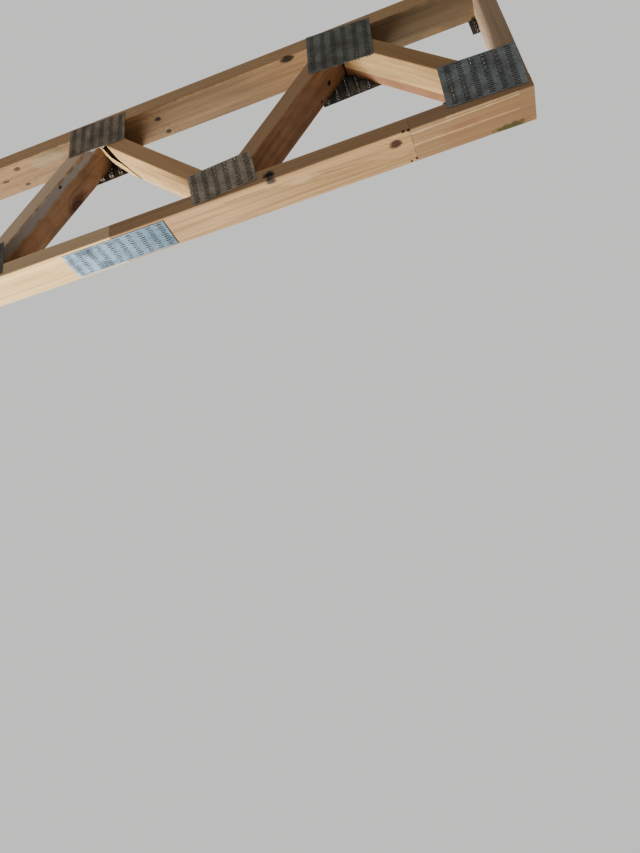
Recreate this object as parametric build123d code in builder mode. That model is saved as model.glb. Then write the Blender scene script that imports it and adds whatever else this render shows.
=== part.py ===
import os
from math import cos, radians, sin

from build123d import *

# Overall size of the truss
TRUSS_LENGTH = 4876.8
TRUSS_DEPTH = 406.4

# Dressed two by four, laid flat in every member
TIMBER_WIDTH = 88.9
TIMBER_THICKNESS = 38.1
EASED_EDGE = 3.0

# Layout along the truss, the same from either end: top and bottom joints
# take turns, each a panel apart, up to the open chase in the middle
FIRST_TOP_JOINT = 356.0
FIRST_BOTTOM_JOINT = 671.0
PANEL = 624.0
JOINTS_PER_HALF = 6
CHASE_WIDTH = 254.0

# How the webs are cut: the gap between two that meet, and how far from its
# plumb cut each centreline reaches the top and the bottom chord. Two webs lie
# off their marks, so their centrelines run past the cut
WEB_GAP = 3.0
WEB_SETBACKS = (5.0, 5.0)
OFF_MARK_SETBACKS = {"web_right_3": (-10.0, 5.0), "web_right_4": (-4.0, -4.0)}

# Butt splice in the bottom chord, measured from the +X end
SPLICE_DISTANCE = 946.0
SPLICE_GAP = 1.0

# Toothed connector plates: sheet, punched slots, and the bare edge round them
PLATE_GAUGE = 1.0
SLOT_LENGTH = 12.0
SLOT_WIDTH = 3.2
SLOT_PITCH = 25.4
SLOT_ROW_PITCH = 45.0
SLOT_MARGIN = 6.0

# Plate sizes, length along the chord by height
HEEL_PLATE = (165.0, 127.0)
CORNER_PLATE = (50.8, 76.2)
FIRST_JOINT_PLATE = (152.4, 127.0)
JOINT_PLATE = (152.4, 95.0)
CHASE_PLATE = (101.6, 76.2)
SPLICE_PLATE = (254.0, 76.2)

# How far a plate's long edge stays back from the outer edge of its chord,
# and an end plate's short edge from the end of the truss
PLATE_EDGE = 8.0
HEEL_PLATE_EDGE = 16.0
END_PLATE_EDGE = 4.0

# How each joint's plates were pressed, from the end towards the middle: how far
# along the chord they missed the joint, the turn of the near and the far plate,
# and how much further from the chord's outer edge the far plate sits
RIGHT_PRESSING = (
    (4, -5.5, 2.0, 2), (1, 4.5, -1.0, 5), (5, -3.0, 1.5, 11),
    (-4, 1.0, -1.5, 0), (5, -1.0, 2.0, 6), (-2, 2.0, 0.5, 2),
)
LEFT_PRESSING = (
    (4, 1.5, -2.0, 3), (-5, -2.5, 1.0, 0), (2, 1.0, 2.0, 7),
    (6, -1.5, -0.5, 4), (-3, 2.0, 1.0, 0), (3, -1.0, 1.5, 5),
)
HEEL_SKEW = 3.0

# Levels: the lowest plate lies on the floor, so the chord starts one sheet up
CHORD_BASE = PLATE_GAUGE
WEB_BASE = CHORD_BASE + TIMBER_THICKNESS
WEB_TOP = CHORD_BASE + TRUSS_DEPTH - TIMBER_THICKNESS
CHORD_TOP = CHORD_BASE + TRUSS_DEPTH
HALF_LENGTH = TRUSS_LENGTH / 2

os.makedirs("parts", exist_ok=True)


def save(piece, label):
    """Name a finished piece and write it to its own file."""
    piece.part.label = label
    export_step(piece.part, f"parts/{label}.step")


def make_chord(label, start, end, base):
    """A straight length of two by four along X, with its underside at base."""
    with BuildPart() as chord:
        section_plane = Plane.YZ.offset(start)
        with BuildSketch(section_plane):
            with Locations((0, base + TIMBER_THICKNESS / 2)):
                RectangleRounded(TIMBER_WIDTH, TIMBER_THICKNESS, EASED_EDGE)
        extrude(amount=end - start)
    save(chord, label)


def make_post(label, centre):
    """An upright two by four between the chords, its wide face along Y."""
    with BuildPart() as post:
        with BuildSketch(Plane.XY.offset(WEB_BASE)):
            with Locations((centre, 0)):
                RectangleRounded(TIMBER_THICKNESS, TIMBER_WIDTH, EASED_EDGE)
        extrude(amount=WEB_TOP - WEB_BASE)
    save(post, label)


def joint_distance(index):
    """How far from the end of the truss a joint stands; even ones are on the top chord."""
    first = FIRST_TOP_JOINT if index % 2 == 0 else FIRST_BOTTOM_JOINT
    return first + index // 2 * PANEL


def make_web(label, top_cut, bottom_cut):
    """A sloping two by four, sawn level at both chords and plumb at both cuts."""
    side = 1 if bottom_cut > top_cut else -1
    top_setback, bottom_setback = OFF_MARK_SETBACKS.get(label, WEB_SETBACKS)
    top_x = top_cut + side * top_setback
    bottom_x = bottom_cut - side * bottom_setback
    rise = WEB_TOP - WEB_BASE
    middle = ((top_x + bottom_x) / 2, 0, (WEB_TOP + WEB_BASE) / 2)
    slope = Vector(top_x - bottom_x, 0, rise)
    with BuildPart() as web:
        with BuildSketch(Plane(origin=middle, x_dir=(0, 1, 0), z_dir=slope)):
            RectangleRounded(TIMBER_WIDTH, TIMBER_THICKNESS, EASED_EDGE)
        extrude(amount=slope.length, both=True)
        with BuildSketch(Plane.XZ):
            with Locations(((top_cut + bottom_cut) / 2, (WEB_TOP + WEB_BASE) / 2)):
                Rectangle(abs(top_cut - bottom_cut), rise)
        extrude(amount=TIMBER_WIDTH, both=True, mode=Mode.INTERSECT)
    save(web, label)


def punched_sheet(size):
    """The outline of a connector plate, with its columns of slots, in the current sketch."""
    length, height = size
    columns = int((length - 2 * SLOT_MARGIN - SLOT_LENGTH) // SLOT_PITCH) + 1
    rows = int((height - 2 * SLOT_MARGIN - SLOT_WIDTH) // SLOT_ROW_PITCH) + 1
    Rectangle(length, height)
    with GridLocations(SLOT_PITCH, SLOT_ROW_PITCH, columns, rows):
        Rectangle(SLOT_LENGTH, SLOT_WIDTH, mode=Mode.SUBTRACT)


def make_plate_pair(label, size, x, z, near_skew=0, far_skew=0, far_rise=0):
    """Two connector plates on the near and far faces of a joint, each turned by its own skew."""
    near_y = -TIMBER_WIDTH / 2
    far_y = TIMBER_WIDTH / 2 + PLATE_GAUGE
    with BuildPart() as pair:
        for y, skew, rise in ((near_y, near_skew, 0), (far_y, far_skew, far_rise)):
            run = (cos(radians(skew)), 0, sin(radians(skew)))
            with BuildSketch(Plane(origin=(x, y, z + rise), x_dir=run, z_dir=(0, -1, 0))):
                punched_sheet(size)
            extrude(amount=PLATE_GAUGE)
    save(pair, label)


def make_splice_plate(label, base):
    """A connector plate across the butt joint of the bottom chord, with its underside at base."""
    with BuildPart() as plate:
        with BuildSketch(Plane(origin=(HALF_LENGTH - SPLICE_DISTANCE, 0, base), z_dir=(0, 0, 1))):
            punched_sheet(SPLICE_PLATE)
        extrude(amount=PLATE_GAUGE)
    save(plate, label)


# Chords
splice_x = HALF_LENGTH - SPLICE_DISTANCE
make_chord("top_chord", -HALF_LENGTH, HALF_LENGTH, WEB_TOP)
make_chord("bottom_chord_long", -HALF_LENGTH, splice_x - SPLICE_GAP / 2, CHORD_BASE)
make_chord("bottom_chord_short", splice_x + SPLICE_GAP / 2, HALF_LENGTH, CHORD_BASE)
make_splice_plate("splice_plate_under", CHORD_BASE - PLATE_GAUGE)
make_splice_plate("splice_plate_over", WEB_BASE)

# Each half, from its end to the chase in the middle
for side_name, side, pressing in (("right", 1, RIGHT_PRESSING), ("left", -1, LEFT_PRESSING)):
    end_post_x = HALF_LENGTH - TIMBER_THICKNESS / 2
    chase_post_x = (CHASE_WIDTH + TIMBER_THICKNESS) / 2
    make_post(f"end_post_{side_name}", side * end_post_x)
    make_post(f"chase_post_{side_name}", side * chase_post_x)

    # Vertical cuts at the posts and joints, from the end inwards
    joints = [HALF_LENGTH - joint_distance(k) for k in range(JOINTS_PER_HALF)]
    end_face = end_post_x - TIMBER_THICKNESS / 2
    chase_face = chase_post_x + TIMBER_THICKNESS / 2
    make_web(f"web_{side_name}_1", side * (joints[0] + WEB_GAP / 2), side * end_face)
    for k in range(JOINTS_PER_HALF - 1):
        outer_cut = side * (joints[k] - WEB_GAP / 2)
        inner_cut = side * (joints[k + 1] + WEB_GAP / 2)
        top_cut, bottom_cut = (outer_cut, inner_cut) if k % 2 == 0 else (inner_cut, outer_cut)
        make_web(f"web_{side_name}_{k + 2}", top_cut, bottom_cut)
    make_web(f"web_{side_name}_{JOINTS_PER_HALF + 1}", side * chase_face, side * (joints[-1] - WEB_GAP / 2))

    # Connector plates
    heel_x = HALF_LENGTH - END_PLATE_EDGE - HEEL_PLATE[0] / 2
    heel_z = CHORD_BASE + HEEL_PLATE_EDGE + HEEL_PLATE[1] / 2
    make_plate_pair(f"heel_plates_{side_name}", HEEL_PLATE, side * heel_x, heel_z, -side * HEEL_SKEW)
    corner_x = HALF_LENGTH - END_PLATE_EDGE - CORNER_PLATE[0] / 2
    corner_z = CHORD_TOP - PLATE_EDGE - CORNER_PLATE[1] / 2
    make_plate_pair(f"corner_plates_{side_name}", CORNER_PLATE, side * corner_x, corner_z)
    for k, (joint, (shift, near_skew, far_skew, far_drop)) in enumerate(zip(joints, pressing)):
        size = FIRST_JOINT_PLATE if k == 0 else JOINT_PLATE
        plate_z = PLATE_EDGE + size[1] / 2
        if k % 2 == 0:
            z = CHORD_TOP - plate_z
            far_rise = -far_drop
        else:
            z = CHORD_BASE + plate_z
            far_rise = far_drop
        make_plate_pair(f"joint_plates_{side_name}_{k + 1}", size, side * (joint + shift), z,
                        near_skew, far_skew, far_rise)
    chase_z = PLATE_EDGE + CHASE_PLATE[1] / 2
    top_plate_x = chase_face + CHASE_PLATE[0] / 2 - TIMBER_THICKNESS
    make_plate_pair(f"chase_top_plates_{side_name}", CHASE_PLATE, side * top_plate_x, CHORD_TOP - chase_z)
    make_plate_pair(f"chase_bottom_plates_{side_name}", CHASE_PLATE, side * chase_post_x,
                    CHORD_BASE + chase_z)
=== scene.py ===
import math
from functools import cache

import bmesh
import bpy
import numpy as np
from mathutils import Matrix, Vector


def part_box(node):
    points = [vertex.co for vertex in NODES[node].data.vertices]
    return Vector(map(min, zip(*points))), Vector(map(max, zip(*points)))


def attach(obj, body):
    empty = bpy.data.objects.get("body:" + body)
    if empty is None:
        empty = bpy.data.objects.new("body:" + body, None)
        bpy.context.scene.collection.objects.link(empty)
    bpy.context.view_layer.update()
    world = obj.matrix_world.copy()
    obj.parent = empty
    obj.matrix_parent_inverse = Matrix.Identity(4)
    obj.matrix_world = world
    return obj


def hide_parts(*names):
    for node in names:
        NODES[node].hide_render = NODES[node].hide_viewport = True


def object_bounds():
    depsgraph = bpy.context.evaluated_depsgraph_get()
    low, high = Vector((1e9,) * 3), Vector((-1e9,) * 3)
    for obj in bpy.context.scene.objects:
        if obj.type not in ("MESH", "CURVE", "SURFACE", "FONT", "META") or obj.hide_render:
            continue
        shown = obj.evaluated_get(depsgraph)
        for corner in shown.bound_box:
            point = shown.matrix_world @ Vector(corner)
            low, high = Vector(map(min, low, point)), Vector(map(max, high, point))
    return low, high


bl_info = {
    "name": "Open web timber truss",
    "version": (1, 0, 0),
    "blender": (4, 5, 0),
    "location": "View3D > Sidebar > Truss",
    "description": "Finishes a floor truss of flat two by fours with grained timber and toothed plates",
    "category": "Add Mesh",
}

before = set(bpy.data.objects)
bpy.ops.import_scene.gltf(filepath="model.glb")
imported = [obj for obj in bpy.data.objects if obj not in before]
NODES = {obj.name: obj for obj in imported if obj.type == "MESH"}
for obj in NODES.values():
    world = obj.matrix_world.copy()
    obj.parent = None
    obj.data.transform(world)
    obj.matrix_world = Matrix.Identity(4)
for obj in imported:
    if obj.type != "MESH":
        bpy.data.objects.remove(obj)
CAD_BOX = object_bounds()
MM = 0.001

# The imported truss: +X is the end nearest the camera, -Y the side that faces it
CHORD_TOP = CAD_BOX[1].z
TIMBER_WIDTH = 2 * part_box("top_chord")[1].y
TIMBER_THICKNESS = CHORD_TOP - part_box("top_chord")[0].z
WEB_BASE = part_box("bottom_chord_short")[0].z + TIMBER_THICKNESS
WEB_TOP = CHORD_TOP - TIMBER_THICKNESS

# The photograph's camera, in the frame of the truss
CAMERA_PLACE = (2.1483, -1.1692, -1.2571)
CAMERA_RIGHT = (0.94277, 0.29911, -0.14737)
CAMERA_DOWN = (-0.27129, 0.43108, -0.86057)
CAMERA_FORWARD = (-0.19388, 0.85129, 0.48755)
CAMERA_SENSOR = 36.0
CAMERA_LENS = 32.28
CAMERA_CLIP = (0.05, 200.0)

# The studio. Each light: place, target, width and height, all in metres
FLOOR_COLOUR = (0.72, 0.72, 0.71)
FLOOR_ROUGHNESS = 0.8
LIGHT_COLOUR = (1.0, 0.99, 0.97)
LIGHTS = {
    "key_light": ((0.2, 0.9, -1.2), (1.5, 0.0, 0.2), (1.2, 2.6)),
    "top_light": ((0.0, 0.5, 4.0), (0.0, 0.0, 0.4), (4.0, 4.0)),
}

CRACK_COLOUR = (0.008, 0.004, 0.002)
KNOT_RIM_COLOUR = (0.05, 0.022, 0.012)
# The next two colours: painted shade on the timber that shows in the slots of the plates
SLOT_SHADE_COLOUR = (0.11, 0.085, 0.065)
SPLICE_SLOT_SHADE_COLOUR = (0.02, 0.02, 0.022)
# Painted shade deep in the split web
TORN_SHADE_COLOUR = (0.07, 0.034, 0.016)

CREAM = (0.85, 0.55, 0.28)
RED_BROWN = (0.34, 0.15, 0.07)
DARK_BROWN = (0.1, 0.045, 0.022)
DARK_TAN = (0.3, 0.185, 0.1)
MOULD = (0.085, 0.085, 0.025)
SOOT = (0.045, 0.038, 0.032)
GREY_STRIPE = (0.31, 0.3, 0.285)
# A painted sheen on the top chord's underside
PALE_GREY = (0.5, 0.4, 0.27)
# Painted shade on the top chord's underside
DULL_GREY = (0.072, 0.08, 0.062)
PINK = (0.34, 0.14, 0.072)
# These six tones are painted light and shade, laid as strips on the side faces of the boards
SIDE_BROWN = (0.42, 0.22, 0.1)
SIDE_TAN = (0.62, 0.36, 0.2)
SIDE_RED = (0.66, 0.36, 0.19)
SIDE_OAK = (0.95, 0.66, 0.41)
LIT_SIDE_TAN = (0.75, 0.45, 0.22)
LIT_SIDE_PALE = (0.97, 0.69, 0.45)
BLACK = (0.008, 0.006, 0.005)
KNOT_RED = (0.07, 0.03, 0.02)
KNOT_SOFT = (0.09, 0.052, 0.024)
KNOT_BROWN = (0.035, 0.016, 0.007)
KNOT_BLACK = (0.02, 0.01, 0.006)

# Marks that show on the visible end of the truss, placed in millimetres in its frame.
# finger_joint: its places at the near and the far edge, and the colour and strength beyond it.
# knots: centre, radius, stretch along X, colour.
# patches, and spots on top of all but the knots: centre, reach, colour, strength, grit.
# streaks, which narrow to their end, and strips, which don't: start, end, half width, colour,
# strength. The strips along the side faces, 44.5 mm either side of the middle, are painted light
# and shade on those faces; the black strip across the short chord is a painted shadow line.
MARKS = {
    "bottom_chord_short": {
        "finger_joint": ((2181, -43, 1), (2182, 35, 1), DARK_TAN, 0.5),
        "knots": (((2148, -20.7, 1), 9.5, 1.3, KNOT_RED),
                  ((2169, -44, 3), 2.8, 1.2, KNOT_BLACK),
                  ((2180, -43.5, 2), 3.0, 1.2, KNOT_BLACK),
                  ((2182.4, 35, 1), 2.8, 1.0, KNOT_BLACK),
                  ((2170.7, 38.4, 1), 2.6, 1.0, KNOT_BLACK)),
        "patches": (((2350, 5, 1), (140, 75, 30), RED_BROWN, 0.28, 9),
                    ((2386, 37, 1), (42, 10, 14), MOULD, 0.9, 90),
                    ((2291, -7.6, 1), (44, 9, 12), RED_BROWN, 0.45, 60),
                    ((1934, -16, 1), (40, 12, 12), CREAM, 0.45, 60)),
        "streaks": (((2185, -31.5, 1), (2407, -35.7, 1), 2.4, CREAM, 0.75),
                    ((2261, -42, 1.4), (2406, -42.4, 1.4), 2.2, CREAM, 0.7),
                    ((2185, -0.9, 1), (2406, -0.4, 1), 1.9, CREAM, 0.65),
                    ((1763, -25.8, 1), (1861, -25.9, 1), 1.8, RED_BROWN, 0.75),
                    ((1989, -11, 1), (2095, 0.3, 1), 1.8, RED_BROWN, 0.75)),
        "strips": (((1493, -44.5, 20), (2438, -44.5, 20), 18, SIDE_TAN, 0.5),
                   # A painted shadow line along the end of the splice plate
                   ((1620.5, -38, 1), (1620.5, 38, 1), 1.6, BLACK, 0.85)),
        "spots": (((1877, -40, 2), (13, 10, 8), SOOT, 0.95, 150),
                  ((1874, -44.5, 16), (15, 6, 11), BLACK, 0.99, 150)),
    },
    "bottom_chord_long": {
        "strips": (((-2438, -44.5, 20), (1492, -44.5, 20), 18, SIDE_OAK, 0.75),
                   ((-2438, 44.5, 20), (1492, 44.5, 20), 18, SIDE_OAK, 0.75)),
    },
    "top_chord": {
        "knots": (((1613, -13, 369), 5.2, 1.5, KNOT_BROWN),
                  ((1621, 29.4, 369), 5.2, 1.4, KNOT_BROWN),
                  ((1222, -25.3, 369), 5.5, 1.5, KNOT_SOFT),
                  ((1172, -1.9, 369), 3.5, 2.6, KNOT_SOFT),
                  ((1217, 26.7, 369), 4.0, 1.8, KNOT_SOFT),
                  ((1961.5, -37.6, 369), 7.0, 2.3, KNOT_BLACK)),
        "patches": (((1330, -36, 369), (60, 12, 14), MOULD, 0.5, 60),
                    # The pale grey patch: a painted sheen
                    ((1310, -18, 369), (62, 20, 14), PALE_GREY, 0.3, 30),
                    # The two dull grey patches: painted shade, stronger towards the +X end of the top
                    # chord
                    ((1730, 0, 369), (250, 90, 60), DULL_GREY, 0.24, 12),
                    ((2250, 0, 369), (260, 90, 60), DULL_GREY, 0.58, 12)),
        "strips": (((-2438, -44.5, 388.3), (2438, -44.5, 388.3), 18, LIT_SIDE_TAN, 0.95),),
    },
    "web_right_1": {
        "strips": (((2070, 33, 361), (2330, 33, 81), 12.5, PINK, 0.85),
                   ((2088.9, -44.5, 369), (2395.3, -44.5, 39), 18, SIDE_BROWN, 0.65)),
    },
    "web_right_2": {
        "knots": (((2039.4, 12.1, 301.2), 6.0, 1.0, KNOT_BLACK),
                  ((2012, 30, 270), 3.5, 1.0, KNOT_BLACK)),
        "strips": (((2075.9, -44.5, 369), (1773.9, -44.5, 39), 18, LIT_SIDE_TAN, 0.6),),
    },
    "web_right_3": {
        "streaks": (((1556.3, -8.8, 228.5), (1575.1, -4.1, 208.6), 0.9, RED_BROWN, 0.6),
                    ((1575.1, -4.1, 208.6), (1601.4, 1.6, 180.7), 1.1, RED_BROWN, 0.7),
                    ((1620.6, 12.5, 160.3), (1645.8, 23.4, 133.5), 1.3, RED_BROWN, 0.75)),
        "strips": (((1449.9, -44.5, 369), (1760.9, -44.5, 39), 18, SIDE_RED, 0.6),),
    },
    "web_right_4": {
        "knots": (((1358, 38, 236), 12.0, 1.0, DARK_BROWN),
                  ((1355.4, -33.5, 233.1), 3.6, 2.4, KNOT_BROWN)),
        "patches": (((1360, 32, 238), (36, 22, 38), DARK_BROWN, 0.88, 40),),
        "streaks": (((1187, -31, 60), (1445, -30, 324), 15, GREY_STRIPE, 0.9),),
        "strips": (((1460.9, -44.5, 369), (1140.9, -44.5, 39), 18, LIT_SIDE_PALE, 1.0),),
    },
}

FINGER_LENGTH = 2.1 * MM

# How strongly the parts of a mark cover the wood
KNOT_STRENGTH = 0.97
KNOT_RIM_STRENGTH = 0.6
JOINT_LINE_STRENGTH = 0.8
SLOT_SHADE_STRENGTH = 0.92

# Wood of the boards that differ from the settings, as inputs of the softwood group
CHORD_WOOD = {
    "bottom_chord_short": {
        "shift": (0.0, 0.0, 0.0), "pith": (0.0, 0.02, 0.075), "ring_size": 0.0042, "knot_share": 0.0},
    "bottom_chord_long": {
        "shift": (0.7, 0.0, 0.0), "pith": (0.0, -0.01, 0.09), "ring_size": 0.006, "knot_share": 0.1,
        "early_colour": (0.95, 0.62, 0.24), "late_colour": (0.8, 0.47, 0.16)},
    # The top chord's dark colours: partly the board's own tone, partly painted shade
    "top_chord": {
        "shift": (-1.2, 0.0, -WEB_TOP), "pith": (0.0, 0.03, -0.03), "ring_size": 0.0048,
        "knot_share": 0.06, "early_colour": (0.41, 0.24, 0.108), "late_colour": (0.27, 0.138, 0.056)},
}
# The other webs and posts take turns at these two
PALE_WOOD = ((0.66, 0.41, 0.2), (0.45, 0.24, 0.1), 0.45)
AGED_WOOD = ((0.52, 0.3, 0.14), (0.33, 0.165, 0.07), 0.55)
# Colour of the early and the late wood, and contrast. The first and the third web are pale and the
# second and the fourth dark: partly each board's own tone, partly painted light and shade for the way
# each web faces the low light.
WEB_WOOD = {
    "web_right_1": ((0.98, 0.61, 0.25), (0.84, 0.47, 0.18), 0.25),
    "web_right_2": ((0.42, 0.23, 0.125), (0.27, 0.125, 0.065), 0.35),
    "web_right_3": ((0.98, 0.6, 0.25), (0.82, 0.44, 0.17), 0.35),
    "web_right_4": ((0.29, 0.16, 0.083), (0.175, 0.082, 0.041), 0.5),
    "end_post_right": ((0.7, 0.48, 0.3), (0.5, 0.31, 0.17), 0.4),
}
WEB_KNOT_SHARE = 0.14
# From one web or post to the next: steps along and up its log, and of its pith and its rings
LOG_STEP = 1.7
LOG_LIFT = 0.035
PITH_DEPTH = 0.06
PITH_STEP = 0.02
LEAST_RING = 0.0035
RING_STEP = 0.0008

# The third web split where it meets the top chord. On its underside, in millimetres along
# and across the truss: the outline of the gap that opened, that of the corner which broke
# away beside it, and how deep each goes
SPLIT_WEB = "web_right_3"
SPLIT_GAP = (
    (1485, -50), (1490, -24), (1494, -5), (1504, 7), (1512, 19), (1521, 29), (1530, 39), (1539, 49),
    (1533, 49), (1523, 41), (1514, 31), (1504, 19), (1493, 10), (1481, 7), (1472, 1), (1468, -19),
    (1459, -40), (1457, -50))
LOST_CORNER = (
    (1450, -5), (1462, 5), (1466, 20), (1476, 30), (1501, 39), (1513, 47), (1513, 60), (1450, 60))
SPLIT_DEPTHS = (18.0, 12.0)
SPLIT_CLEARANCE = 2.0

# Corners nearer to each other than this are one; the finest gap that a cut may leave
SAME_PLACE = 0.01 * MM
LEAST_GAP = 0.05 * MM

# The sizes in the settings that feed the plate tree
PLATE_SIZES = ("gauge", "slot_length", "slot_width", "slot_pitch", "row_pitch", "margin", "stagger",
               "tooth_length")

# A tooth: a four sided spike, widened along its slot, that leans a little at random
TOOTH_ROOT_RADIUS = 2.1 * MM
TOOTH_TIP_RADIUS = 0.5 * MM
TOOTH_WIDENING = 1.85
TOOTH_RISE = 0.4 * MM
TOOTH_INSET = 5.5 * MM
TOOTH_LEAN = (0.05, 0.05, 0.015)

# Tint of a plate's inner face, which shows through the truss: painted shade, and with the cool tint a
# painted cool reflection
INNER_FACE_SHADE = (0.74, 0.74, 0.74)
INNER_FACE_SHADE_AND_COOL_REFLECTION = (0.64, 0.68, 0.7)
# Zinc of the joint plates: how bright beside the settings' zinc in red, green and blue, how
# strongly the punched columns darken and the bands between lighten, as painted shade and highlight,
# and the tint of the inner face
PLATE_ZINC = {
    "grey": ((1.14, 1.2, 1.14), 0.35, (0.95, 1.15, 1.55)),
    "blue_grey": ((1.97, 2.24, 2.55), 0.4, INNER_FACE_SHADE_AND_COOL_REFLECTION),
    "brown": ((2.68, 2.22, 1.82), 0.6, INNER_FACE_SHADE_AND_COOL_REFLECTION),
    "dark_brown": ((1.64, 1.24, 0.86), 0.5, INNER_FACE_SHADE_AND_COOL_REFLECTION),
}
# The second and the third joint from each end have browner plates
JOINT_ZINC = {"2": "brown", "3": "dark_brown"}
# Seeds far enough apart that no two plates share one
SEEDS_PER_NODE = 10
SPLICE_SEED = 500


# Node trees


def socket_name(word):
    """The socket that an argument stands for: ring_size is Ring Size."""
    return word.replace("_", " ").title()


class Value:
    """One output of a node. Sums on it add the nodes that work them out."""

    def __init__(self, graph, node, output=0):
        self.graph = graph
        self.node = node
        self.socket = node.outputs[output]

    def __getitem__(self, output):
        return Value(self.graph, self.node, output)

    def __add__(self, other):
        return self.graph.math("ADD", self, other)

    def __sub__(self, other):
        return self.graph.math("SUBTRACT", self, other)

    def __rsub__(self, other):
        return self.graph.math("SUBTRACT", other, self)

    def __mul__(self, other):
        return self.graph.math("MULTIPLY", self, other)

    def __truediv__(self, other):
        return self.graph.math("DIVIDE", self, other)

    def __mod__(self, other):
        return self.graph.math("FLOORED_MODULO", self, other)

    def __lt__(self, other):
        return self.graph.math("LESS_THAN", self, other)

    def __gt__(self, other):
        return self.graph.math("GREATER_THAN", self, other)

    def __abs__(self):
        return self.graph.math("ABSOLUTE", self)

    def floor(self):
        return self.graph.math("FLOOR", self)

    def length(self):
        return self.graph.math("LENGTH", self)["Value"]

    def dot(self, other):
        return self.graph.math("DOT_PRODUCT", self, other)["Value"]

    def split(self):
        """The three numbers of a vector."""
        parts = self.graph.node("ShaderNodeSeparateXYZ", {0: self})
        return parts[0], parts[1], parts[2]

    def fade(self, start, end, to_start=0.0, to_end=1.0, style="SMOOTHSTEP"):
        """Map one range to another, softly at its ends, and hold it there."""
        numbers = dict(enumerate((self, start, end, to_start, to_end)))
        return self.graph.node("ShaderNodeMapRange", numbers, interpolation_type=style)

    def span(self, to_start, to_end, start=0.0, end=1.0):
        """Map one range evenly to another, and hold it at the ends."""
        return self.fade(start, end, to_start, to_end, "LINEAR")


def is_vector(value):
    """Whether a value has three parts: a tuple, or a vector or colour from a node."""
    if isinstance(value, Value):
        return value.socket.type in ("VECTOR", "RGBA")
    return isinstance(value, tuple)


class Graph:
    """Short calls that add nodes to a shader or geometry tree and wire them up."""

    def __init__(self, tree):
        self.tree = tree

    def node(self, kind, inputs=None, **settings):
        """Add a node, set its properties, and feed its inputs by name or number."""
        made = self.tree.nodes.new(kind)
        for name, value in settings.items():
            setattr(made, name, value)
        for key, value in (inputs or {}).items():
            self.feed(made.inputs[key], value)
        return Value(self, made)

    def feed(self, socket, value):
        """Wire a socket to a value, or set its own number, vector or colour."""
        if isinstance(value, Value):
            self.tree.links.new(value.socket, socket)
        elif socket.type == "RGBA" and len(value) == 3:
            socket.default_value = (*value, 1.0)
        else:
            socket.default_value = value

    def math(self, operation, *values, clamp=False):
        """Work out a number, or a vector where one of the values is a vector."""
        inputs = dict(enumerate(values))
        vectors = [value for value in values if is_vector(value)]
        if not vectors:
            return self.node("ShaderNodeMath", inputs, operation=operation, use_clamp=clamp)
        if operation == "MULTIPLY" and len(vectors) == 1:
            scale = next(value for value in values if not is_vector(value))
            operation, inputs = "SCALE", {0: vectors[0], "Scale": scale}
        return self.node("ShaderNodeVectorMath", inputs, operation=operation)

    def join(self, x, y, z):
        """A vector of three numbers."""
        return self.node("ShaderNodeCombineXYZ", {0: x, 1: y, 2: z})

    def blend(self, factor, a, b):
        """Mix two colours."""
        return self.node("ShaderNodeMix", {0: factor, 6: a, 7: b}, data_type="RGBA")[2]

    def noise(self, place, scale, detail=2.0, roughness=0.5):
        """Noise at a scale, or at one for each axis."""
        if isinstance(scale, tuple):
            place, scale = place * scale, 1.0
        return self.node("ShaderNodeTexNoise", {
            "Vector": place, "Scale": scale, "Detail": detail, "Roughness": roughness})

    def group(self, tree, **inputs):
        """Place a shader node group and feed its inputs."""
        named = {socket_name(name): value for name, value in inputs.items()}
        return self.node("ShaderNodeGroup", named, node_tree=tree)

    def put_out(self, **values):
        """Feed the outputs of the group that this graph makes, and return the group."""
        outputs = self.tree.nodes.new("NodeGroupOutput").inputs
        for name, value in values.items():
            self.feed(outputs[socket_name(name)], value)
        return self.tree


def new_group(name, inputs, outputs, kind="ShaderNodeTree"):
    """A node group's graph, and what it is given. Each input has its default, or as a word the
    kind of its socket, as each output has."""
    tree = bpy.data.node_groups.new(name, kind)
    for in_out, sockets in (("INPUT", inputs), ("OUTPUT", outputs)):
        for label, default in sockets.items():
            if isinstance(default, str):
                word = default
            elif isinstance(default, tuple):
                word = "Vector" if len(default) == 3 else "Color"
            else:
                word = type(default).__name__.title()
            made = tree.interface.new_socket(label, in_out=in_out, socket_type="NodeSocket" + word)
            if word != default:
                made.default_value = default
    graph = Graph(tree)
    return graph, graph.node("NodeGroupInput")


def metres(place):
    """A place given in millimetres, in metres."""
    return tuple(value * MM for value in place)


def new_object(name, data):
    """Put a mesh, light or camera into the scene."""
    made = bpy.data.objects.new(name, data)
    bpy.context.scene.collection.objects.link(made)
    return made


def node_points(node):
    """A CAD node's vertices, in metres."""
    mesh = NODES[node].data
    flat = np.empty(len(mesh.vertices) * 3, np.float32)
    mesh.vertices.foreach_get("co", flat)
    return flat.reshape(-1, 3)


# Shader groups


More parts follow.
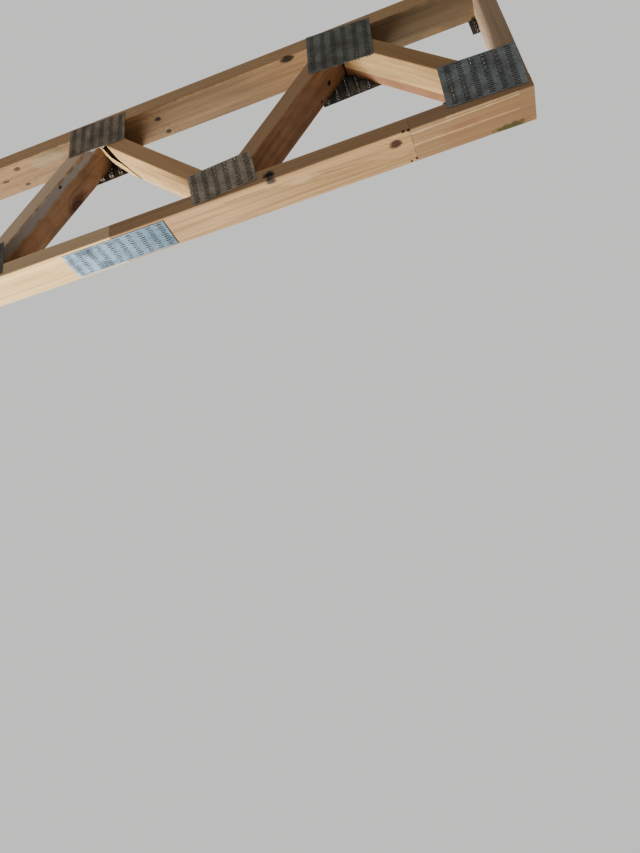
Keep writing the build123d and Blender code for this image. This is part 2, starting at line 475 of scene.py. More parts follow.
@cache
def softwood_group():
    """Growth rings, fibres and scattered knots of sawn softwood, with the grain along X."""
    graph, given = new_group(
        "Softwood grain",
        {"Vector": "Vector", "Pith": (0.0, 0.03, 0.05), "Ring Size": 0.005,
         "Early Colour": (0.6, 0.42, 0.25, 1.0), "Late Colour": (0.35, 0.2, 0.1, 1.0),
         "Knot Colour": (0.12, 0.05, 0.025, 1.0), "Contrast": 0.6, "Knot Share": 0.2, "Bulge": 0.0},
        {"Color": "Color", "Height": "Float"})
    place = given["Vector"]

    # Scattered knots run through the thickness of the board
    cells = graph.node("ShaderNodeTexVoronoi", {
        "Vector": place * (3.6, 7.0, 1.2), "Scale": 1.0, "Randomness": 0.9})
    pick, size, _ = cells["Color"].split()
    present = pick < given["Knot Share"]
    nearness = cells["Distance"] / size.span(0.035, 0.13)
    core = nearness.fade(1.05, 0.8) * present
    rim = abs(nearness - 1.05).fade(0.25, 0.0) * present
    push = nearness.fade(4.0, 0.5) * present

    # Rings round a pith that wanders slowly along the board, no two equally dark
    wander = (graph.noise(place, (1.3, 8.0, 8.0))["Color"] - (0.5, 0.5, 0.5)) * 0.03
    across = (place + wander - given["Pith"]) * (0.0, 1.0, 1.0)
    rings = (across.length() + (push + given["Bulge"]) * 0.012) / given["Ring Size"]
    part = graph.math("FRACT", rings)
    darkness = graph.node("ShaderNodeTexWhiteNoise", {"W": rings.floor()}, noise_dimensions="1D")
    late = part.fade(0.35, 0.9) * part.fade(1.0, 0.93) * darkness["Value"].span(0.35, 1.0)

    # Fibres, short streaks and slow changes of tone
    fibre = graph.noise(place, (12.0, 500.0, 500.0), 3.0, 0.6)
    streak = graph.noise(place, (2.2, 85.0, 85.0), 3.0, 0.55)
    blotch = graph.noise(place, (1.6, 7.0, 7.0), 3.0, 0.55)

    tone = graph.blend(late * given["Contrast"], given["Early Colour"], given["Late Colour"])
    tone = tone * blotch.fade(0.3, 0.7, 0.78, 1.16)
    tone = tone * streak.fade(0.3, 0.72, 1.12, 0.74)
    tone = tone * fibre.fade(0.25, 0.75, 0.9, 1.08)
    tone = graph.blend(core * KNOT_STRENGTH, tone, given["Knot Colour"])
    tone = graph.blend(rim * KNOT_RIM_STRENGTH, tone, KNOT_RIM_COLOUR)
    return graph.put_out(color=tone, height=late * 0.35 + fibre * 0.5 - rim * 0.8)


@cache
def knot_group():
    """One knot at a given place: its core, its dark rim, and how far it pushes the rings."""
    graph, given = new_group(
        "Knot", {"Vector": "Vector", "Centre": "Vector", "Radius": 0.012, "Stretch": 1.5},
        {"Core": "Float", "Rim": "Float", "Bulge": "Float"})
    away = (given["Vector"] - given["Centre"]) / graph.join(given["Stretch"], 1.0, 1.0)
    ragged = graph.noise(given["Vector"], 120.0) - 0.5
    near = away.length() / given["Radius"] + ragged * 0.5
    return graph.put_out(core=near.fade(1.05, 0.75), rim=abs(near - 1.0).fade(0.35, 0.0),
                         bulge=near.fade(5.0, 0.5))


@cache
def stain_group():
    """A ragged patch round a given place."""
    graph, given = new_group(
        "Stain", {"Vector": "Vector", "Centre": "Vector", "Reach": (0.1, 0.03, 0.03), "Grain": 60.0},
        {"Mask": "Float"})
    away = (given["Vector"] - given["Centre"]) / given["Reach"]
    ragged = graph.noise(given["Vector"], given["Grain"], 4.0, 0.65) - 0.5
    near = away.length() + ragged * 1.6
    return graph.put_out(mask=near.fade(1.15, 0.45))


@cache
def covered_group():
    """The timber that lies under one connector plate, where the timber showing in its slots gets
    painted shade.
    """
    graph, given = new_group(
        "Under a plate",
        {"Vector": "Vector", "Centre": "Vector", "Along": "Vector", "Across": "Vector",
         "Outward": "Vector", "Half Length": 0.08, "Half Height": 0.05},
        {"Mask": "Float"})
    away = given["Vector"] - given["Centre"]

    def within(axis, reach):
        return abs(away.dot(given[axis])) < reach

    mask = within("Along", given["Half Length"]) * within("Across", given["Half Height"])
    return graph.put_out(mask=mask * within("Outward", MM))


@cache
def streak_group():
    """A ragged line between two places, which may narrow to its end."""
    graph, given = new_group(
        "Streak",
        {"Vector": "Vector", "Start": "Vector", "End": "Vector", "Width": 0.002, "Taper": 0.5,
         "Ragged": 0.5, "Softness": 0.5},
        {"Mask": "Float"})
    run = given["End"] - given["Start"]
    away = given["Vector"] - given["Start"]
    share = graph.math("DIVIDE", away.dot(run), run.dot(run), clamp=True)
    off = (away - run * share).length()
    wobble = graph.noise(given["Vector"], 45.0, 3.0, 0.6) - 0.5
    width = given["Width"] * (1.0 - share * given["Taper"])
    swell = wobble * (given["Ragged"] * 4.0) + 1.0
    near = off / graph.math("MAXIMUM", width * swell, LEAST_GAP)
    return graph.put_out(mask=near.fade(given["Softness"] + 1.0, 1.0 - given["Softness"]))


@cache
def finger_joint_group():
    """A finger joint across a board: its thin jagged line, and the timber beyond it along X."""
    graph, given = new_group(
        "Finger joint", {"Vector": "Vector", "Near": "Vector", "Far": "Vector"},
        {"Line": "Float", "Beyond": "Float"})
    x, y, _ = given["Vector"].split()
    near_x, near_y, _ = given["Near"].split()
    far_x, far_y, _ = given["Far"].split()
    line_x = near_x + (y - near_y) / (far_y - near_y) * (far_x - near_x)
    off = x - line_x - graph.math("PINGPONG", y + 1.0, FINGER_LENGTH)
    worn = graph.noise(given["Vector"], 160.0, 2.0, 0.6)
    return graph.put_out(line=abs(off).fade(1.1 * MM, 0.3 * MM) * worn.fade(0.4, 0.6),
                         beyond=off.fade(-0.4 * MM, 0.4 * MM))


@cache
def zinc_group():
    """Weathered galvanising: spangles, grit and dull patches."""
    graph, given = new_group(
        "Zinc",
        {"Vector": "Vector", "Bright Colour": (0.3, 0.3, 0.28, 1.0),
         "Dull Colour": (0.1, 0.1, 0.09, 1.0), "Spangle": 0.3, "Dullness": 0.5, "Punched": 0.0,
         "Bands": 1.0, "Hidden": 0.0, "Inner": 0.0, "Inner Tint": INNER_FACE_SHADE},
        {"Color": "Color", "Roughness": "Float", "Height": "Float"})
    place = given["Vector"]
    spangles = graph.node("ShaderNodeTexVoronoi", {"Vector": place, "Scale": 260.0})
    facet, _, _ = spangles["Color"].split()
    patch = graph.noise(place, 22.0, 4.0, 0.6)
    grit = graph.noise(place, 420.0, 2.0, 0.6)
    dull = (patch + (given["Dullness"] - 0.5)).fade(0.32, 0.68)
    tone = graph.blend(dull, given["Bright Colour"], given["Dull Colour"])
    tone = tone * ((facet - 0.5) * given["Spangle"] + 1.0)
    tone = tone * grit.fade(0.3, 0.7, 0.85, 1.1)
    # Punched columns darker and the bands between them lighter: painted shade and highlight of the
    # embossed slots
    uneven = given["Bands"] * graph.noise(place, 9.0).fade(0.35, 0.65, 0.55, 1.25)
    tone = tone * (given["Punched"].span(0.15, -0.4) * uneven + 1.0)
    # Cut edges darker: painted shade
    tone = tone * given["Hidden"].span(1.0, 0.35)
    # Inner face tinted: painted shade, and with a cool tint a painted cool reflection
    tone = graph.blend(given["Inner"], tone, tone * given["Inner Tint"])
    return graph.put_out(color=tone, roughness=dull.span(0.34, 0.62) + (facet - 0.5) * 0.16,
                         height=facet * 0.3 + grit * 0.7)


# Materials


def new_material(name):
    """A node material and its graph."""
    material = bpy.data.materials.new(name)
    material.use_nodes = True
    return material, Graph(material.node_tree)


def set_surface(graph, inputs):
    """Feed a material's Principled BSDF."""
    shader = graph.tree.nodes["Principled BSDF"]
    for name, value in inputs.items():
        graph.feed(shader.inputs[name], value)


def bump(graph, height, strength, distance):
    """The normal that a height gives."""
    return graph.node("ShaderNodeBump", {"Height": height, "Strength": strength, "Distance": distance})


def timber_material(node, settings, shift, angle=0.0, **wood):
    """Softwood for one member, with the marks that show on it. shift and angle lay the member
    in its log, and the rest feeds the softwood group."""
    material, graph = new_material(node + "_timber")
    marks = MARKS.get(node, {})
    place = graph.node("ShaderNodeTexCoord")["Object"]

    def laid(group, **inputs):
        return graph.group(group, vector=place, **inputs)

    def stained(base, stains):
        for centre, reach, tint, strength, grit in stains:
            mask = laid(stain_group(), centre=metres(centre), reach=metres(reach), grain=grit)
            base = graph.blend(mask * strength, base, tint)
        return base

    def streak(start, end, width, **inputs):
        return laid(streak_group(), start=metres(start), end=metres(end), width=width * MM, **inputs)

    hearts, rim, bulge = [], 0.0, 0.0
    for centre, radius, stretch, tint in marks.get("knots", ()):
        knot = laid(knot_group(), centre=metres(centre), radius=radius * MM, stretch=stretch)
        hearts.append((knot["Core"], tint))
        rim = graph.math("MAXIMUM", rim, knot["Rim"])
        bulge = graph.math("MAXIMUM", bulge, knot["Bulge"])

    grain = dict(early_colour=settings.early_colour, late_colour=settings.late_colour,
                 knot_colour=settings.knot_colour, contrast=settings.contrast)
    turned = graph.node("ShaderNodeMapping", {"Vector": place, "Rotation": (0.0, angle, 0.0)})
    sawn = graph.group(softwood_group(), vector=turned + shift, bulge=bulge, **{**grain, **wood})
    colour, height = sawn["Color"], sawn["Height"]
    if "finger_joint" in marks:
        near, far, tint, strength = marks["finger_joint"]
        joint = laid(finger_joint_group(), near=metres(near), far=metres(far))
        colour = graph.blend(joint["Beyond"] * strength, colour, tint)
        colour = graph.blend(joint["Line"] * JOINT_LINE_STRENGTH, colour, CRACK_COLOUR)
    colour = stained(colour, marks.get("patches", ()))
    for start, end, width, tint, strength in marks.get("streaks", ()):
        colour = graph.blend(streak(start, end, width) * strength, colour, tint)
    grained = height.span(1.14, 0.82, 0.1, 0.65)
    # The strips on the side faces paint light and shade there; the black one is a painted shadow line
    for start, end, width, tint, strength in marks.get("strips", ()):
        mask = streak(start, end, width, taper=0.0, ragged=0.06, softness=0.12)
        colour = graph.blend(mask * strength, colour, grained * tint)
    colour = stained(colour, marks.get("spots", ()))
    for heart, tint in hearts:
        colour = graph.blend(heart * KNOT_STRENGTH, colour, tint)
    if hearts:
        colour = graph.blend(rim * KNOT_RIM_STRENGTH, colour, CRACK_COLOUR)
        height = height - rim
    # Painted shade on the timber under each plate, which shows in its slots
    for plates, matrix, plate_length, plate_height in plates_on(node):
        slot_shade = SPLICE_SLOT_SHADE_COLOUR if plates.startswith("splice") else SLOT_SHADE_COLOUR
        along, across, outward = (tuple(matrix.col[axis][:3]) for axis in range(3))
        mask = laid(
            covered_group(), centre=tuple(matrix.translation), along=along, across=across,
            outward=outward, half_length=plate_length / 2 - MM, half_height=plate_height / 2 - MM)
        colour = graph.blend(mask * SLOT_SHADE_STRENGTH, colour, slot_shade)
    set_surface(graph, {
        "Base Color": colour, "Roughness": height.span(0.62, 0.8), "Specular IOR Level": 0.2,
        "Normal": bump(graph, height, settings.relief, 0.6 * MM)})
    return material


def torn_material():
    """Torn wood deep in the split, painted dark as shade where little light reaches."""
    material, graph = new_material("torn_timber")
    place = graph.node("ShaderNodeTexCoord")["Object"]
    fibre = graph.noise(place, (400.0, 60.0, 400.0), 3.0, 0.6)
    set_surface(graph, {
        "Base Color": fibre.fade(0.3, 0.7, 0.6, 1.5) * TORN_SHADE_COLOUR, "Roughness": 0.9,
        "Specular IOR Level": 0.1, "Normal": bump(graph, fibre, 0.8, 1.0 * MM)})
    return material


def steel_material(name, bright, dull, spangle, dullness, metallic, bands, inner_tint=INNER_FACE_SHADE):
    """Galvanised steel of one age, with painted shade along the punched columns, at the cut edges and
    inside.
    """
    material, graph = new_material(name)
    marked = {mark: graph.node("ShaderNodeAttribute", attribute_name=mark)["Fac"]
              for mark in ("punched", "hidden", "inner")}
    zinc = graph.group(
        zinc_group(), vector=graph.node("ShaderNodeTexCoord")["Object"], bright_colour=bright,
        dull_colour=dull, spangle=spangle, dullness=dullness, bands=bands, inner_tint=inner_tint,
        **marked)
    set_surface(graph, {
        "Base Color": zinc["Color"], "Roughness": zinc["Roughness"], "Metallic": metallic,
        "Normal": bump(graph, zinc["Height"], 0.35, 0.3 * MM)})
    return material


# Timber


def plates_on(node):
    """The sheets whose box meets a timber's box."""
    low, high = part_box(node)
    found = []
    for plates in (name for name in NODES if "plate" in name):
        plate_low, plate_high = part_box(plates)
        if all(plate_low[k] < high[k] + MM and plate_high[k] > low[k] - MM for k in range(3)):
            found += [(plates, *sheet) for sheet in plate_places(plates)]
    return found


def dress(node, material):
    """Give a CAD node its material in every slot."""
    target = NODES[node]
    if not target.material_slots:
        target.data.materials.append(material)
    for slot in target.material_slots:
        slot.material = material


def along_angle(node):
    """Angle of a web's grain from X towards Z, from the way its cuts lean."""
    points = node_points(node)
    side = points[points[:, 1] < -TIMBER_WIDTH / 4]
    top = side[side[:, 2] > WEB_TOP - 0.5 * MM][:, 0].mean()
    bottom = side[side[:, 2] < WEB_BASE + 0.5 * MM][:, 0].mean()
    return math.atan2(WEB_TOP - WEB_BASE, top - bottom)


def split_cutter(outline, depth):
    """A closed prism on an outline of the split web's underside, down to a depth."""
    angle = along_angle(SPLIT_WEB)
    outward = Vector((-math.sin(angle), 0.0, math.cos(angle)))
    level = float((node_points(SPLIT_WEB) @ np.array(outward)).max())
    corners = [Vector((x * MM, y * MM, (level - x * MM * outward.x) / outward.z)) for x, y in outline]
    shape = bmesh.new()
    raised = outward * SPLIT_CLEARANCE * MM
    lid = shape.faces.new([shape.verts.new(corner + raised) for corner in corners])
    sunk = bmesh.ops.extrude_face_region(shape, geom=[lid])["geom"]
    bmesh.ops.translate(shape, verts=[item for item in sunk if isinstance(item, bmesh.types.BMVert)],
                        vec=-outward * (depth + SPLIT_CLEARANCE) * MM)
    bmesh.ops.recalc_face_normals(shape, faces=shape.faces)
    for face in shape.faces:
        face.material_index = 1
    mesh = bpy.data.meshes.new("split_cutter")
    shape.to_mesh(mesh)
    shape.free()
    return new_object("split_cutter", mesh)


def copy_merged(source, mesh, distance):
    """Copy one mesh into another, and merge the corners that lie this near to each other."""
    shape = bmesh.new()
    shape.from_mesh(source)
    bmesh.ops.remove_doubles(shape, verts=shape.verts, dist=distance)
    shape.to_mesh(mesh)
    shape.free()


def split_web(timber):
    """Replace the split web with a copy that has the gap and the lost corner cut out of it."""
    mesh = bpy.data.meshes.new("split_" + SPLIT_WEB)
    copy_merged(NODES[SPLIT_WEB].data, mesh, SAME_PLACE)
    for material in (timber, torn_material()):
        mesh.materials.append(material)
    piece = new_object("split_" + SPLIT_WEB, mesh)
    cutters = [split_cutter(*cut) for cut in zip((SPLIT_GAP, LOST_CORNER), SPLIT_DEPTHS)]
    for cutter in cutters:
        cut = piece.modifiers.new("Split", "BOOLEAN")
        cut.object = cutter
        cut.operation = "DIFFERENCE"
        cut.solver = "EXACT"
    graph = bpy.context.evaluated_depsgraph_get()
    finished = bpy.data.meshes.new_from_object(piece.evaluated_get(graph), depsgraph=graph)
    piece.modifiers.clear()
    copy_merged(finished, finished, LEAST_GAP)
    piece.data = finished
    for cutter in cutters:
        bpy.data.objects.remove(cutter)
    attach(piece, "root")
    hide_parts(SPLIT_WEB)


# Toothed plates


@cache
def plate_tree():
    """Geometry nodes that punch one toothed plate in the XY plane, its teeth pointing down."""
    graph, given = new_group(
        "Toothed plate",
        {"Length": 0.15, "Height": 0.1, "Gauge": 0.001, "Slot Length": 0.012, "Slot Width": 0.0032,
         "Slot Pitch": 0.0254, "Row Pitch": 0.00635, "Margin": 0.003, "Stagger": 0.0015,
         "Tooth Length": 0.009, "Seed": 1, "Sheet": "Material", "Teeth": "Material"},
        {"Geometry": "Geometry"}, "GeometryNodeTree")

    def count(size, slot, pitch):
        return ((size - given["Margin"] * 2.0 - slot) / pitch).floor() + 1.0

    def odd(value):
        return value.floor() % 2.0 > 0.5

    def marked(geometry, name, value=1.0, **inputs):
        return graph.node("GeometryNodeStoreNamedAttribute", {
            "Geometry": geometry, "Name": name, "Value": value, **inputs},
            data_type="FLOAT", domain="FACE")

    def joined(*parts):
        whole = graph.node("GeometryNodeJoinGeometry")
        for part in parts:
            graph.feed(whole.node.inputs[0], part)
        return whole

    # A grid with one line for each edge and each side of a slot, one unit apart
    columns = count(given["Length"], given["Slot Length"], given["Slot Pitch"])
    rows = count(given["Height"], given["Slot Width"], given["Row Pitch"])
    last_i = columns * 2.0 + 1.0
    last_j = rows * 2.0 + 1.0
    grid = graph.node("GeometryNodeMeshGrid", {
        "Size X": last_i, "Size Y": last_j, "Vertices X": last_i + 1.0, "Vertices Y": last_j + 1.0})
    x, y, _ = graph.node("GeometryNodeInputPosition").split()
    i = x + last_i / 2.0
    j = y + last_j / 2.0
    parts = graph.node("GeometryNodeSeparateGeometry", {
        "Geometry": marked(grid, "punched", odd(i)), "Selection": odd(i) * odd(j)}, domain="FACE")

    # Move the lines to where the slots really are
    def spread(line, last, number, pitch, slot, size):
        near = graph.math("ROUND", line)
        step = ((near - 1.0) / 2.0).floor()
        side = (near - 1.0) % 2.0 - 0.5
        place = (step - (number - 1.0) * 0.5) * pitch + side * slot
        first = near < 0.5
        final = near > last - 0.5
        inside = 1.0 - (first + final)
        return place * inside + (final - first) * (size / 2.0), inside, step

    new_x, inside_x, _ = spread(i, last_i, columns, given["Slot Pitch"], given["Slot Length"],
                                given["Length"])
    new_y, _, row = spread(j, last_j, rows, given["Row Pitch"], given["Slot Width"], given["Height"])
    zigzag = (row % 2.0 - 0.5) * given["Stagger"] * inside_x
    place = graph.join(new_x + zigzag, new_y, 0.0)
    sheet, blanks = (graph.node("GeometryNodeSetPosition", {"Geometry": parts[part], "Position": place})
                     for part in ("Inverted", "Selection"))

    # Thickness, with the cut edges and the inner face marked for painted shade
    lifted = graph.node("GeometryNodeExtrudeMesh", {
        "Mesh": sheet, "Offset Scale": given["Gauge"], "Individual": False})
    turned = graph.node("GeometryNodeFlipFaces", {"Mesh": sheet})
    both = joined(marked(lifted, "hidden", Selection=lifted["Side"]), marked(turned, "inner"))
    closed = graph.node("GeometryNodeMergeByDistance", {"Geometry": both, "Distance": SAME_PLACE})

    # Two teeth at the ends of each slot, square at the root and pointed
    spike = graph.node("GeometryNodeMeshCone", {
        "Vertices": 4, "Radius Bottom": TOOTH_ROOT_RADIUS, "Radius Top": TOOTH_TIP_RADIUS,
        "Depth": given["Tooth Length"]})
    squared = graph.node("GeometryNodeTransform", {
        "Geometry": spike, "Rotation": (0.0, 0.0, math.pi / 4)})
    teeth = joined(*(
        graph.node("GeometryNodeTransform", {
            "Geometry": squared, "Rotation": (math.pi, 0.0, 0.0), "Scale": (TOOTH_WIDENING, 1.0, 1.0),
            "Translation": graph.join((given["Slot Length"] - TOOTH_INSET) * end, 0.0, TOOTH_RISE)})
        for end in (-0.5, 0.5)))
    lean = graph.node("FunctionNodeRandomValue", {
        0: tuple(-turn for turn in TOOTH_LEAN), 1: TOOTH_LEAN, "Seed": given["Seed"]},
        data_type="FLOAT_VECTOR")
    stood = graph.node("GeometryNodeInstanceOnPoints", {
        "Points": graph.node("GeometryNodeMeshToPoints", {"Mesh": blanks}, mode="FACES"),
        "Instance": marked(teeth, "tooth"), "Rotation": lean})
    real = graph.node("GeometryNodeRealizeInstances", {"Geometry": joined(closed, stood)})
    painted = graph.node("GeometryNodeSetMaterial", {"Geometry": real, "Material": given["Sheet"]})
    is_tooth = graph.node("GeometryNodeInputNamedAttribute", {"Name": "tooth"}, data_type="FLOAT") > 0.5
    finished = graph.node("GeometryNodeSetMaterial", {
        "Geometry": painted, "Material": given["Teeth"], "Selection": is_tooth})
    return graph.put_out(geometry=finished)


def plate_places(node):
    """Each sheet of a plate node: a matrix that takes X along it and Z out of the timber, its
    length and its height."""
    points = node_points(node)
    if node.startswith("splice"):
        up, facing = 1, 2
        sheets = [(points, -1 if "under" in node else 1)]
    else:
        up, facing = 2, 1
        sheets = [(points[points[:, facing] * out > 0], out) for out in (-1, 1)]
    places = []
    for sheet, out in sheets:
        plane = sheet[:, (0, up)]
        corners = {(a, b): plane[np.argmax(plane @ (a, b))] for a in (-1, 1) for b in (-1, 1)}
        run = corners[1, 1] - corners[-1, 1]
        rise = corners[1, 1] - corners[1, -1]
        along, outward, middle = Vector(), Vector(), Vector()
        along[0], along[up] = run / np.linalg.norm(run)
        outward[facing] = out
        middle[0], middle[up] = sum(corners.values()) / 4
        middle[facing] = out * (sheet[:, facing] * out).min()
        matrix = Matrix((along, outward.cross(along), outward)).transposed().to_4x4()
        matrix.translation = middle
        places.append((matrix, float(np.linalg.norm(run)), float(np.linalg.norm(rise))))
    return places


def evaluated_mesh(tree, values):
    """A plain mesh made by a geometry tree with these named values."""
    holder = new_object("tree_holder", bpy.data.meshes.new("tree_holder"))
    modifier = holder.modifiers.new("Tree", "NODES")
    modifier.node_group = tree
    for item in tree.interface.items_tree:
        if item.in_out == "INPUT":
            modifier[item.identifier] = values[item.name]
    shown = holder.evaluated_get(bpy.context.evaluated_depsgraph_get())
    mesh = bpy.data.meshes.new_from_object(shown)
    bpy.data.objects.remove(holder)
    return mesh


def toothed_plates(node, settings, sheet, teeth, seed):
    """Replace a node's plain plates with fully punched ones."""
    finishes = [sheet, teeth]
    sizes = {socket_name(name): getattr(settings, name) for name in PLATE_SIZES}
    whole = bmesh.new()
    for number, (matrix, length, height) in enumerate(plate_places(node)):
        mesh = evaluated_mesh(plate_tree(), {
            **sizes, "Length": length, "Height": height, "Seed": seed + number, "Sheet": sheet,
            "Teeth": teeth})
        mesh.transform(matrix)
        order = [finishes.index(found) if found in finishes else 0 for found in mesh.materials]
        for face in mesh.polygons:
            face.material_index = order[face.material_index]
        whole.from_mesh(mesh)
        bpy.data.meshes.remove(mesh)
    final = bpy.data.meshes.new("toothed_" + node)
    whole.to_mesh(final)
    whole.free()
    for material in finishes:
        final.materials.append(material)
    piece = new_object("toothed_" + node, final)
    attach(piece, "root")
    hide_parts(node)


# Settings, with short forms of their kinds of property


def colour_property(name, description, default):
    return bpy.props.FloatVectorProperty(name=name, description=description, default=default, size=3,
                                         min=0.0, max=1.0, subtype="COLOR")


def number_property(name, description, default, **kind):
    return bpy.props.FloatProperty(name=name, description=description, default=default, min=0.0, **kind)


def share_property(name, description, default):
    return number_property(name, description, default, max=1.0, subtype="FACTOR")


def length_property(name, description, millimetres):
    return number_property(name, description, millimetres * MM, unit="LENGTH")


class TrussTimberSettings(bpy.types.PropertyGroup):
    """Colours and grain of the softwood."""

    early_colour: colour_property("Early wood", "Pale wood between the rings", (0.6, 0.36, 0.16))
    late_colour: colour_property("Late wood", "Dark line of each growth ring", (0.37, 0.185, 0.072))
    knot_colour: colour_property("Knots", "Heart of a knot", (0.035, 0.014, 0.007))
    contrast: share_property("Ring contrast", "How dark the late wood reads", 0.5)
    relief: share_property("Grain relief", "Strength of the raised grain", 0.5)


class TrussPlateSettings(bpy.types.PropertyGroup):
    """Sizes and zinc of the toothed connector plates."""

    gauge: length_property("Gauge", "Thickness of the sheet", 1.0)
    slot_length: length_property("Slot length", "Slot along the plate", 12.0)
    slot_width: length_property("Slot width", "Slot across the plate", 3.2)
    slot_pitch: length_property("Column pitch", "From one column of slots to the next", 25.4)
    row_pitch: length_property("Row pitch", "From one row of slots to the next", 6.35)
    margin: length_property("Margin", "Least bare edge round the slots", 3.0)
    stagger: length_property("Stagger", "How far every other row steps aside", 1.5)
    tooth_length: length_property("Tooth length", "How far a tooth reaches into timber", 9.0)
    bright_colour: colour_property("Clean zinc", "Zinc where it still shines", (0.21, 0.205, 0.18))
    dull_colour: colour_property("Dull zinc", "Zinc where it has weathered", (0.11, 0.105, 0.088))
    splice_bright: colour_property("Clean splice zinc", "Bright zinc over the splice",
                                   (0.085, 0.135, 0.175))
    splice_dull: colour_property("Dull splice zinc", "Duller zinc over the splice",
                                 (0.042, 0.072, 0.098))


class TrussStageSettings(bpy.types.PropertyGroup):
    """The studio round the truss."""

    floor_drop: length_property("Floor drop", "From the truss down to the floor", 2750.0)
    floor_size: length_property("Floor size", "Side of the floor", 60000.0)
    key_light: number_property("Key light", "Power of the low light", 130.0, unit="POWER")
    top_light: number_property("Top light", "Power of the light above", 120.0, unit="POWER")
    sky: number_property("Sky", "Strength of the even light from all round", 0.2)
    backdrop: number_property("Backdrop", "How bright the plain backdrop looks", 0.8)


# Operators


class TRUSS_OT_chords(bpy.types.Operator):
    """Grain the two chords"""

    bl_idname = "truss.chords"
    bl_label = "Chords"

    def execute(self, context):
        for node, wood in CHORD_WOOD.items():
            dress(node, timber_material(node, context.scene.truss_timber, **wood))
        return {"FINISHED"}


class TRUSS_OT_webs(bpy.types.Operator):
    """Grain the webs and posts, each as its own piece of timber"""

    bl_idname = "truss.webs"
    bl_label = "Webs and posts"

    def execute(self, context):
        names = sorted(n for n in NODES if n.startswith("web_") or "_post_" in n)
        for number, node in enumerate(names):
            early, late, contrast = WEB_WOOD.get(node, (PALE_WOOD, AGED_WOOD)[number % 2])
            lift = LOG_LIFT * (number % 3)
            timber = timber_material(
                node, context.scene.truss_timber, shift=(LOG_STEP * number, 0.0, lift),
                angle=math.pi / 2 if "_post_" in node else along_angle(node),
                pith=(0.0, PITH_STEP * (number * 7 % 5 - 2), PITH_DEPTH + lift),
                ring_size=LEAST_RING + RING_STEP * (number % 4), knot_share=WEB_KNOT_SHARE,
                early_colour=early, late_colour=late, contrast=contrast)
            dress(node, timber)
            if node == SPLIT_WEB:
                split_web(timber)
        return {"FINISHED"}


class TRUSS_OT_joint_plates(bpy.types.Operator):
    """Punch the weathered plates on the near and far faces of every joint"""

    bl_idname = "truss.joint_plates"
    bl_label = "Joint plates"

    def execute(self, context):
        settings = context.scene.truss_plates
        sheets = {}
        for name, (tint, bands, inner_tint) in PLATE_ZINC.items():
            bright, dull = (tuple(Vector(zinc) * Vector(tint))
                            for zinc in (settings.bright_colour, settings.dull_colour))
            sheets[name] = steel_material(
                name + "_plate_steel", bright, dull, spangle=0.3, dullness=0.5, metallic=0.45,
                bands=bands, inner_tint=inner_tint)
        teeth = steel_material("plate_teeth_steel", (0.13, 0.122, 0.11), (0.085, 0.08, 0.07),
                               spangle=0.2, dullness=0.3, metallic=0.45, bands=0.0)
        names = sorted(n for n in NODES if "plate" in n and not n.startswith("splice"))
        for number, node in enumerate(names):
            zinc = "blue_grey" if node.startswith("heel") else JOINT_ZINC.get(node[-1], "grey")
            seed = SEEDS_PER_NODE * number
            toothed_plates(node, settings, sheets[zinc], teeth, seed)
        return {"FINISHED"}


class TRUSS_OT_splice_plates(bpy.types.Operator):
    """Punch the brighter plates over and under the splice of the bottom chord"""

    bl_idname = "truss.splice_plates"
    bl_label = "Splice plates"

    def execute(self, context):
        settings = context.scene.truss_plates
        sheet = steel_material("splice_plate_steel", settings.splice_bright, settings.splice_dull,
                               spangle=0.35, dullness=0.4, metallic=0.75, bands=1.5)
        teeth = steel_material("splice_teeth_steel", (0.03, 0.036, 0.042), (0.02, 0.024, 0.028),
                               spangle=0.2, dullness=0.3, metallic=0.5, bands=0.0)
        for number, node in enumerate(("splice_plate_under", "splice_plate_over")):
            toothed_plates(node, settings, sheet, teeth, SPLICE_SEED + number)
        return {"FINISHED"}


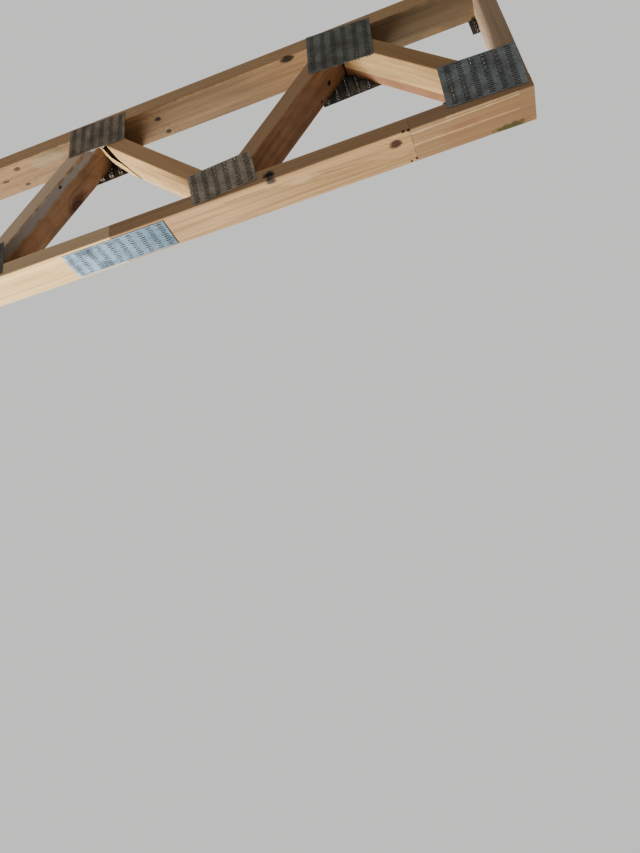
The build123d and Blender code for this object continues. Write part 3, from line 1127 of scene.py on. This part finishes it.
class TRUSS_OT_stage(bpy.types.Operator):
    """Set the pale floor, the soft lights and the camera"""

    bl_idname = "truss.stage"
    bl_label = "Stage"

    def execute(self, context):
        settings = context.scene.truss_stage
        half = settings.floor_size / 2
        corners = [(x, y, -settings.floor_drop)
                   for x, y in ((-half, -half), (half, -half), (half, half), (-half, half))]
        mesh = bpy.data.meshes.new("floor")
        mesh.from_pydata(corners, [], [(0, 1, 2, 3)])
        material, graph = new_material("floor_paint")
        set_surface(graph, {"Base Color": FLOOR_COLOUR, "Roughness": FLOOR_ROUGHNESS})
        mesh.materials.append(material)
        floor = new_object("floor", mesh)

        for name, (spot, target, size) in LIGHTS.items():
            lamp = bpy.data.lights.new(name, "AREA")
            lamp.shape = "RECTANGLE"
            lamp.size, lamp.size_y = size
            lamp.energy = getattr(settings, name)
            lamp.color = LIGHT_COLOUR
            lit = new_object(name, lamp)
            aim = (Vector(target) - Vector(spot)).normalized()
            side = aim.cross(Vector((0.0, 1.0, 0.0))).normalized()
            turn = Matrix((side, aim.cross(side), -aim)).transposed().to_4x4()
            lit.matrix_world = Matrix.Translation(spot) @ turn
            lit.visible_camera = False

        # A pale backdrop for the camera, and softer light of the same colour for the truss
        world = bpy.data.worlds.new("studio")
        world.use_nodes = True
        graph = Graph(world.node_tree)
        seen = graph.node("ShaderNodeLightPath")["Is Camera Ray"]
        sky = world.node_tree.nodes["Background"]
        graph.feed(sky.inputs["Color"], LIGHT_COLOUR)
        graph.feed(sky.inputs["Strength"], seen.span(settings.sky, settings.backdrop))
        context.scene.world = world

        lens = bpy.data.cameras.new("camera")
        lens.sensor_width = CAMERA_SENSOR
        lens.lens = CAMERA_LENS
        lens.clip_start, lens.clip_end = CAMERA_CLIP
        camera = new_object("camera", lens)
        right, down, forward = Vector(CAMERA_RIGHT), Vector(CAMERA_DOWN), Vector(CAMERA_FORWARD)
        turn = Matrix((right, -down, -forward)).transposed().to_4x4()
        camera.matrix_world = Matrix.Translation(CAMERA_PLACE) @ turn
        bpy.context.scene.camera = camera
        return {"FINISHED"}


class TRUSS_PT_sidebar(bpy.types.Panel):
    """The steps that finish the truss"""

    bl_label = "Truss"
    bl_idname = "TRUSS_PT_sidebar"
    bl_space_type = "VIEW_3D"
    bl_region_type = "UI"
    bl_category = "Truss"

    def draw(self, context):
        for step in STEPS:
            self.layout.operator(step.bl_idname)
        for group in SETTINGS:
            box = self.layout.box()
            for name in SETTINGS[group].__annotations__:
                box.prop(getattr(context.scene, group), name)


STEPS = (TRUSS_OT_stage, TRUSS_OT_chords, TRUSS_OT_webs, TRUSS_OT_joint_plates, TRUSS_OT_splice_plates)
SETTINGS = {"truss_timber": TrussTimberSettings, "truss_plates": TrussPlateSettings,
            "truss_stage": TrussStageSettings}


def register():
    for kind in (*SETTINGS.values(), *STEPS, TRUSS_PT_sidebar):
        bpy.utils.register_class(kind)
    for name, kind in SETTINGS.items():
        setattr(bpy.types.Scene, name, bpy.props.PointerProperty(type=kind))


def unregister():
    for name in SETTINGS:
        delattr(bpy.types.Scene, name)
    for kind in (TRUSS_PT_sidebar, *STEPS, *SETTINGS.values()):
        bpy.utils.unregister_class(kind)


def main():
    """Finish the truss."""
    register()
    bpy.ops.truss.stage()
    bpy.ops.truss.chords()
    bpy.ops.truss.webs()
    bpy.ops.truss.joint_plates()
    bpy.ops.truss.splice_plates()


if __name__ == "__main__":
    main()
